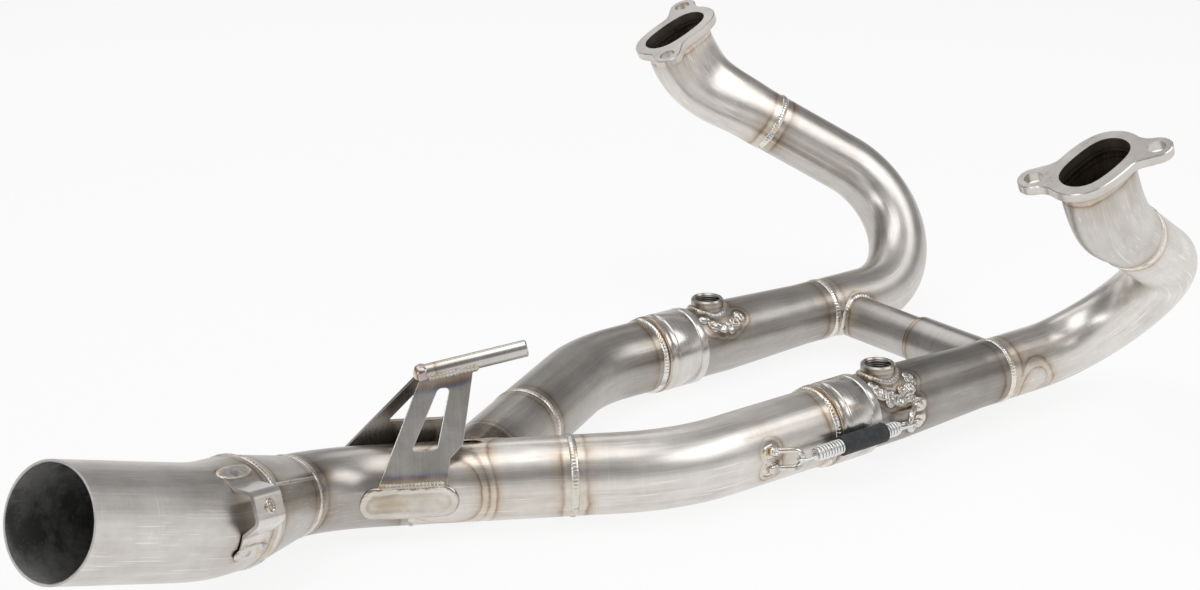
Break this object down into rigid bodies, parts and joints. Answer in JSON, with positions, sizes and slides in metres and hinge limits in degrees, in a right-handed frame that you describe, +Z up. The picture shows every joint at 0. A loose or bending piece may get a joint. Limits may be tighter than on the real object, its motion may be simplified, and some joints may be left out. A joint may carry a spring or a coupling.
{
  "type": "motorcycle exhaust header",
  "caption": "Two-into-one exhaust header for a flat-twin motorcycle: bent tubes from oval port flanges run back, join at a merge and leave through one larger outlet.",
  "frame": {"origin": "centre of the outlet's mouth, on the outlet tube's axis", "axes": "+X forward along the motorcycle, +Y to the rider's left, +Z up"},
  "size_m": [0.794, 0.4902, 0.2227],
  "materials": {
    "tube_steel": "satin stainless tube with heat tint beside the welds",
    "weld_steel": "bright rippled weld",
    "machined_steel": "machined and brushed",
    "sheet_steel": "satin sheet",
    "spring_steel": "bright wire",
    "spring_rubber": "matt black rubber"
  },
  "bodies": {
    "root": {"collector_bend": "tube_steel", "collector_welds": "weld_steel", "crossover_sleeve": "machined_steel", "hanger_pin": "machined_steel", "left_boss_beads": "weld_steel", "left_boss_weld": "weld_steel", "left_crossover_stub": "tube_steel", "left_crossover_weld": "weld_steel", "left_front_anchor": "spring_steel", "left_front_bend": "tube_steel", "left_hanger_foot": "sheet_steel", "left_hanger_leg": "sheet_steel", "left_leg_bend": "tube_steel", "left_pipe_welds": "weld_steel", "left_port_flange": "machined_steel", "left_port_stub": "tube_steel", "left_rear_anchor": "spring_steel", "left_sensor_boss": "machined_steel", "left_slip_socket": "machined_steel", "left_spring": "spring_steel", "left_spring_sleeve": "spring_rubber", "left_taper_pipe": "tube_steel", "merge_branch": "tube_steel", "merge_tube": "tube_steel", "merge_weld": "weld_steel", "outlet_cone": "tube_steel", "outlet_pipe": "tube_steel", "right_boss_beads": "weld_steel", "right_boss_weld": "weld_steel", "right_crossover_stub": "tube_steel", "right_crossover_weld": "weld_steel", "right_front_anchor": "spring_steel", "right_front_bend": "tube_steel", "right_hanger_foot": "sheet_steel", "right_hanger_leg": "sheet_steel", "right_leg_bend": "tube_steel", "right_pipe_welds": "weld_steel", "right_port_flange": "machined_steel", "right_port_stub": "tube_steel", "right_rear_anchor": "spring_steel", "right_sensor_boss": "machined_steel", "right_slip_socket": "machined_steel", "right_spring": "spring_steel", "right_spring_sleeve": "spring_rubber", "right_taper_pipe": "tube_steel", "strap_bracket": "sheet_steel", "strap_rivet": "machined_steel"}
  },
  "joints": []
}
